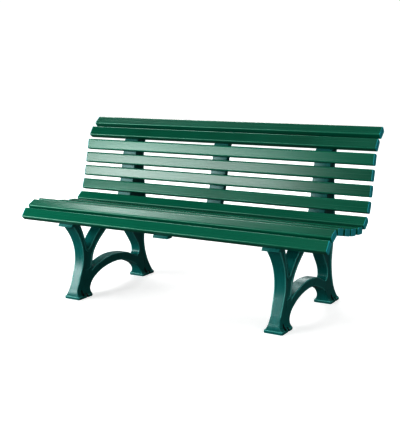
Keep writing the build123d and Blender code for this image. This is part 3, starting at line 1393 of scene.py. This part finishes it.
    @staticmethod
    def join(piece: bpy.types.Object, extra: bpy.types.Object) -> None:
        """Adds one object's mesh to another's and removes the first."""
        bm = bmesh.new()
        bm.from_mesh(piece.data)
        bm.from_mesh(extra.data)
        bm.to_mesh(piece.data)
        bm.free()
        bpy.data.objects.remove(extra)


@dataclass(frozen=True)
class FootSpot:
    """Where a foot stands under its leg.

    Attributes:
        front: Front edge of the sole, in mm behind the front feet's front edge.
        rear: Rear edge of the sole, in mm.
        outline: Outer outline of the leg frame.
        is_front: Whether it is the front foot.
    """

    front: float
    rear: float
    outline: list[Point2]
    is_front: bool

    def reach(self, height: float) -> Point2:
        """Finds the front and rear of the leg at a height.

        Args:
            height: Height in mm.

        Returns:
            Distances behind the front feet's front edge, in mm.
        """
        low, high = (-5.0, 140.0) if self.is_front else (480.0, 640.0)
        near = [p for p in self.outline if low < p[0] < high and 0.5 < p[1] < 110.0]
        middle = (self.front + self.rear) / 2
        lean = 0.35 if self.is_front else 0.0
        lines = []
        for keep in ([p for p in near if p[0] < middle + lean * p[1]],
                     [p for p in near if p[0] >= middle + lean * p[1]]):
            keep.sort(key=lambda p: p[1])
            lines.append(float(np.interp(height, [p[1] for p in keep], [p[0] for p in keep])))
        return lines[0], lines[1]


@dataclass
class Foot:
    """A foot flange with its flare, notches and ground fixing holes.

    Attributes:
        x: Middle plane of its leg frame, in mm.
        spot: Where it stands.
        half_sole: Half the sole's width, in mm.
        flare: Half width of the foot at each height, in mm.
        hole_x: Fixing hole from the middle plane, in mm.
        hole_y: Fixing hole behind the sole's front edge, in mm.
        notch_y: Notch behind the sole's front edge, in mm.
        hollow: Radius of the hollow above a fixing hole, in mm.
        notch_half: Half the notch's length along the sole's edge, in mm.
        notch_axis: Half axis, across the bench, of the ellipse that shapes the notch, in mm.
        notch_centre: Centre of that ellipse from the middle plane, in mm.
        notch_share: Half the notch's length over the ellipse's other half axis.
        notch_zone: Half length, nearest distance to the middle plane and height of the
            space in which the notch's faces lie, in mm.
        seam: Height from which the foot's sections lie just inside the leg, in mm.
    """

    x: float
    spot: FootSpot
    half_sole: float = 42.5
    flare: tuple[Point2, ...] = (
        (13.0, 38.6), (15.0, 36.2), (18.0, 33.8), (22.0, 31.4), (27.0, 29.3), (33.0, 27.4),
        (40.0, 25.9), (48.0, 24.9), (57.0, 24.3), (68.0, 23.9),
    )
    hole_x: float = 34.0
    hole_y: float = 38.0
    notch_y: float = 62.0
    hollow: float = 8.05
    notch_half: float = 5.66
    notch_axis: float = 13.0
    notch_centre: float = 46.83
    notch_share: float = 0.943
    notch_zone: Triple = (5.8, 26.0, 18.5)
    seam: float = 60.0

    def section(
        self, height: float, half: float, ends: Point2, corner: float, notch: float
    ) -> list[Triple]:
        """Draws one level section of the foot.

        Args:
            height: Height of the section, in mm.
            half: Half its width, in mm.
            ends: Its front and rear, in mm.
            corner: Radius of its corners, in mm.
            notch: How deep the notches are, 0 to 1.

        Returns:
            Points of the section, in metres, anticlockwise from above.
        """
        front, rear = ends
        middle = self.spot.front + self.notch_y
        centres = ((half - corner, rear - corner, 0), (-half + corner, rear - corner, 90),
                   (-half + corner, front + corner, 180), (half - corner, front + corner, 270))
        sweep = [math.radians(-90 + 18 * k) for k in range(11)]
        bites = []
        for a in sweep:
            reach = math.cos(math.asin(self.notch_share * math.sin(a)))
            bites.append(
                (middle + self.notch_half * math.sin(a), self.notch_centre - self.notch_axis * reach)
            )
        points = [(half, front + corner + 8.0)]
        points += [(half - notch * max(0.0, half - bite), y) for y, bite in bites]
        for cx, cy, start in centres[:2]:
            points += self.corner_run(cx, cy, start, corner)
        points += [(-(half - notch * max(0.0, half - bite)), y) for y, bite in bites[::-1]]
        points.append((-half, front + corner + 8.0))
        for cx, cy, start in centres[2:]:
            points += self.corner_run(cx, cy, start, corner)
        return [place(self.x + x, (y, height)) for x, y in points]

    @staticmethod
    def corner_run(cx: float, cy: float, start: float, radius: float) -> list[Point2]:
        """Draws a rounded corner with a point on the straight at either end.

        Args:
            cx: Centre of the corner across the bench, in mm.
            cy: Centre of the corner from front to rear, in mm.
            start: Angle at which the corner starts, in degrees.
            radius: Radius of the corner, in mm.

        Returns:
            Points of the corner.
        """
        angles = [math.radians(start + 15 * k) for k in range(7)]
        arc = [(cx + radius * math.cos(a), cy + radius * math.sin(a)) for a in angles]
        a, b = angles[0], angles[-1]
        before = (arc[0][0] + math.sin(a), arc[0][1] - math.cos(a))
        after = (arc[-1][0] - math.sin(b), arc[-1][1] + math.cos(b))
        return [before, *arc, after]

    def rings(self) -> list[list[Triple]]:
        """Lists the foot's sections from the ground up."""
        f, r = self.spot.front, self.spot.rear
        h = self.half_sole
        made = [
            self.section(0.0, h - 0.9, (f + 0.9, r - 0.9), 7.2, 1.0),
            self.section(1.0, h, (f, r), 8.0, 1.0),
            self.section(8.6, h, (f, r), 8.0, 1.0),
            self.section(10.4, h - 0.5, (f + 0.5, r - 0.5), 7.6, 1.0),
            self.section(11.6, h - 1.6, (f + 1.4, r - 1.4), 7.0, 1.0),
            self.section(12.0, h - 2.8, (f + 2.2, r - 2.2), 6.6, 1.0),
        ]
        for height, half in self.flare:
            ya, yb = self.spot.reach(height)
            grow, wider = (0.12, 0.0) if height < self.seam else (-0.06, -0.15)
            made.append(self.section(height, half + wider, (ya - grow, yb + grow), 4.6, 1.0))
        return made

    def cutters(self) -> bpy.types.Object:
        """Makes the stepped plugs that the fixing holes are cut with.

        Returns:
            A temporary object.
        """
        bm = bmesh.new()
        for side in (-1, 1):
            steps = ((-2.0, 4.5), (6.0, 4.5), (6.0, self.hollow), (70.0, self.hollow))
            rings = []
            for z, radius in steps:
                rings.append([
                    bm.verts.new(place(
                        self.x + side * self.hole_x + radius * math.cos(2 * math.pi * k / 24),
                        (self.spot.front + self.hole_y + radius * math.sin(2 * math.pi * k / 24), z),
                    )) for k in range(24)
                ])
            for a, b in zip(rings, rings[1:]):
                LegFrame.bridge(bm, a, b)
            bm.faces.new(rings[0][::-1])
            bm.faces.new(rings[-1])
        bmesh.ops.recalc_face_normals(bm, faces=bm.faces)
        mesh = bpy.data.meshes.new("plugs")
        bm.to_mesh(mesh)
        bm.free()
        return link_object("plugs", mesh)

    def make(self) -> bpy.types.Object:
        """Builds the foot and cuts its holes.

        Returns:
            The foot as a temporary object.
        """
        bm = bmesh.new()
        layer = bm.verts.layers.float.new("edge")
        rings = []
        for n, ring in enumerate(self.rings()):
            rings.append([bm.verts.new(co) for co in ring])
            for vert in rings[-1]:
                # The rings round the top of the flange carry a painted highlight.
                vert[layer] = {3: 0.8, 4: 1.0, 5: 0.6}.get(n, 0.0)
        for a, b in zip(rings, rings[1:]):
            LegFrame.bridge(bm, a, b)
        bm.faces.new(rings[0][::-1])
        bm.faces.new(rings[-1])
        bmesh.ops.recalc_face_normals(bm, faces=bm.faces)
        for face in bm.faces:
            face.smooth = True
        mesh = bpy.data.meshes.new("foot")
        bm.to_mesh(mesh)
        bm.free()
        foot = link_object("foot", mesh)
        plugs = self.cutters()
        cut = foot.modifiers.new("holes", "BOOLEAN")
        cut.operation = "DIFFERENCE"
        cut.solver = "EXACT"
        cut.object = plugs
        settle(foot)
        bpy.data.objects.remove(plugs)
        self.mark_hollows(foot)
        return foot

    def mark_hollows(self, foot: bpy.types.Object) -> None:
        """Marks the faces inside the fixing holes and notches, which are coloured as if in shadow.

        Args:
            foot: Foot with its holes cut.
        """
        marks = foot.data.attributes.new("hollow", "FLOAT", "FACE")
        length, near, top = self.notch_zone
        for mark, face in zip(marks.data, foot.data.polygons):
            corners = [foot.data.vertices[k].co / MM for k in face.vertices]
            spots = [(abs(c.x - self.x), c.y - FRONT_Y / MM - self.spot.front, c.z) for c in corners]
            in_hole = all(
                math.hypot(x - self.hole_x, y - self.hole_y) < self.hollow + 0.1 for x, y, _ in spots
            )
            in_notch = all(abs(y - self.notch_y) < length and x > near and z < top for x, y, z in spots)
            mark.value = float(in_hole or in_notch)


# ------------------------------------------------------------------ fasteners kept from the CAD
@dataclass
class FrameBolts:
    """Hex bolts, nuts and washers across the outer rails, kept as they are and dressed.

    Attributes:
        kinds: First part of the names of the nodes that it dresses.
    """

    kinds: tuple[str, ...] = ("frame_bolts", "frame_nuts", "frame_washers")

    def make(self, finishes: Finishes) -> None:
        """Gives the CAD's own bolts, nuts and washers their zinc finish."""
        for side in Side:
            for kind in self.kinds:
                node = frame["nodes"][f"{kind}_{side.word}"]
                for slot in node.material_slots:
                    slot.material = finishes.steel
                LOG.info("%s: kept from the CAD with its new finish", node.name)


# ------------------------------------------------------------------ studio
@dataclass
class Studio:
    """Pale floor, soft lights and the camera.

    Attributes:
        eye: Place of the camera, in m.
        target: Point that it looks at, in m.
        lens: Focal length in mm on a 36 mm sensor.
        paper: Brightness of the floor paper.
        shade: Brightness of the paper as the bench sees it.
        glow: How much the paper is lifted where it is seen directly.
    """

    eye: Triple = (1.8712, -3.1975, 1.0474)
    target: Triple = (-0.001, 0.0113, 0.371)
    lens: float = 68.18
    paper: float = 0.45
    shade: float = 0.12
    glow: float = 0.69

    def floor(self) -> None:
        """Lays a large plain floor."""
        bm = bmesh.new()
        bmesh.ops.create_grid(bm, x_segments=4, y_segments=4, size=7.0)
        mesh = bpy.data.meshes.new("floor")
        bm.to_mesh(mesh)
        bm.free()
        made = link_object("floor", mesh)
        paper = bpy.data.materials.new("floor_paper")
        paper.use_nodes = True
        sheet = NodeSheet(paper.node_tree)
        shader = paper.node_tree.nodes["Principled BSDF"]
        shader.inputs["Roughness"].default_value = 1.0
        shader.inputs["Specular IOR Level"].default_value = 0.0
        shader.inputs["Emission Color"].default_value = (1.0, 1.0, 1.0, 1.0)
        seen = sheet.add("ShaderNodeLightPath").outputs["Is Camera Ray"]
        white = sheet.add(
            "ShaderNodeMapRange", {"Value": seen, "To Min": self.shade, "To Max": self.paper}
        ).outputs["Result"]
        paper.node_tree.links.new(white, shader.inputs["Base Color"])
        spot = sheet.add("ShaderNodeTexCoord").outputs["Object"]
        away = sheet.add("ShaderNodeVectorMath", {0: spot}, operation="LENGTH").outputs["Value"]
        lift = sheet.add(
            "ShaderNodeMapRange", {
                "Value": away, "From Min": 1.5, "From Max": 4.5, "To Min": self.glow, "To Max": 1.05
            }
        ).outputs["Result"]
        lift = sheet.add("ShaderNodeMath", {0: lift, 1: seen}, operation="MULTIPLY").outputs[0]
        paper.node_tree.links.new(lift, shader.inputs["Emission Strength"])
        made.data.materials.append(paper)

    def light(self, name: str, spot: Triple, aim: Triple, size: Point2, power: float) -> None:
        """Hangs one soft rectangular light.

        Args:
            name: Name of the light.
            spot: Where it hangs, in m.
            aim: Point that it faces, in m.
            size: Its width and height, in m.
            power: Its power, in W.
        """
        lamp = bpy.data.lights.new(name, "AREA")
        lamp.shape = "RECTANGLE"
        lamp.size, lamp.size_y = size
        lamp.energy = power
        made = bpy.data.objects.new(name, lamp)
        made.location = spot
        made.rotation_euler = (Vector(aim) - Vector(spot)).to_track_quat("-Z", "Y").to_euler()
        made.visible_camera = False
        bpy.context.scene.collection.objects.link(made)

    def sun(self, towards: Triple, strength: float, spread: float) -> None:
        """Adds an even, very soft light from far above.

        Args:
            towards: Direction from the bench to the light.
            strength: Its strength, in W per square metre.
            spread: Its apparent size, in degrees.
        """
        lamp = bpy.data.lights.new("soft_daylight", "SUN")
        lamp.energy = strength
        lamp.angle = math.radians(spread)
        made = bpy.data.objects.new("soft_daylight", lamp)
        made.rotation_euler = Vector(towards).to_track_quat("Z", "Y").to_euler()
        bpy.context.scene.collection.objects.link(made)

    def sky(self) -> None:
        """Sets a plain white surround, dimmer where it lights the bench than where it is seen."""
        world = bpy.data.worlds.new("surround")
        world.use_nodes = True
        sheet = NodeSheet(world.node_tree)
        back = world.node_tree.nodes["Background"]
        back.inputs["Color"].default_value = (1.0, 1.0, 1.0, 1.0)
        seen = sheet.add("ShaderNodeLightPath").outputs["Is Camera Ray"]
        level = sheet.add(
            "ShaderNodeMapRange", {"Value": seen, "To Min": 0.08, "To Max": 1.05}
        ).outputs["Result"]
        world.node_tree.links.new(level, back.inputs["Strength"])
        bpy.context.scene.world = world

    def camera(self) -> None:
        """Stands the camera up."""
        lens = bpy.data.cameras.new("camera")
        lens.lens = self.lens
        lens.sensor_width = 36.0
        lens.sensor_fit = "AUTO"
        made = bpy.data.objects.new("camera", lens)
        made.location = self.eye
        made.rotation_euler = (Vector(self.target) - Vector(self.eye)).to_track_quat("-Z", "Y").to_euler()
        bpy.context.scene.collection.objects.link(made)
        bpy.context.scene.camera = made

    def make(self) -> None:
        """Builds the whole studio."""
        self.camera()
        self.floor()
        self.sky()
        self.sun((0.2, -0.35, 1.0), 0.85, 70.0)
        self.light("softbox_front_left", (-1.95, -2.85, 1.45), (-0.15, 0.12, 0.5), (1.9, 0.7), 74.0)
        self.light("softbox_left", (-2.7, -1.9, 0.75), (-0.4, -0.2, 0.4), (1.7, 1.2), 60.0)
        self.light("softbox_front_right", (2.4, -4.2, 0.9), (0.0, 0.0, 0.3), (2.2, 1.2), 50.0)
        self.light("strip_right", (3.4, -2.1, 0.7), (0.5, 0.0, 0.3), (0.4, 1.2), 24.0)
        self.light("softbox_right", (2.9, -0.6, 2.9), (0.4, 0.0, 0.3), (1.2, 1.2), 30.0)
        self.light("softbox_over", (-3.3, 3.2, 4.9), (0.0, -0.2, 0.4), (3.4, 1.2), 190.0)
        self.light("softbox_back_left", (-1.7, 3.6, 1.5), (0.3, 0.0, 0.2), (1.8, 1.2), 30.0)
        view = bpy.context.scene.view_settings
        view.view_transform = "Standard"
        view.gamma = 0.7


def main() -> None:
    """Builds the bench piece by piece, then the studio."""
    logging.basicConfig(level=logging.INFO, format="%(name)s: %(message)s")
    finishes = Finishes.mix()
    slats = SlatSet()
    slats.make(finishes)
    EndCaps(slats).make(finishes)
    rails = {"left": -510.0, "middle": 0.0, "right": 510.0}
    for word, x in rails.items():
        CurvedRail(word, x).make(finishes)
    SlatScrews().make(finishes, rails)
    for side in Side:
        LegFrame(side, rails[side.word]).make(finishes)
    FrameBolts().make(finishes)
    Studio().make()


if __name__ == "__main__":
    main()
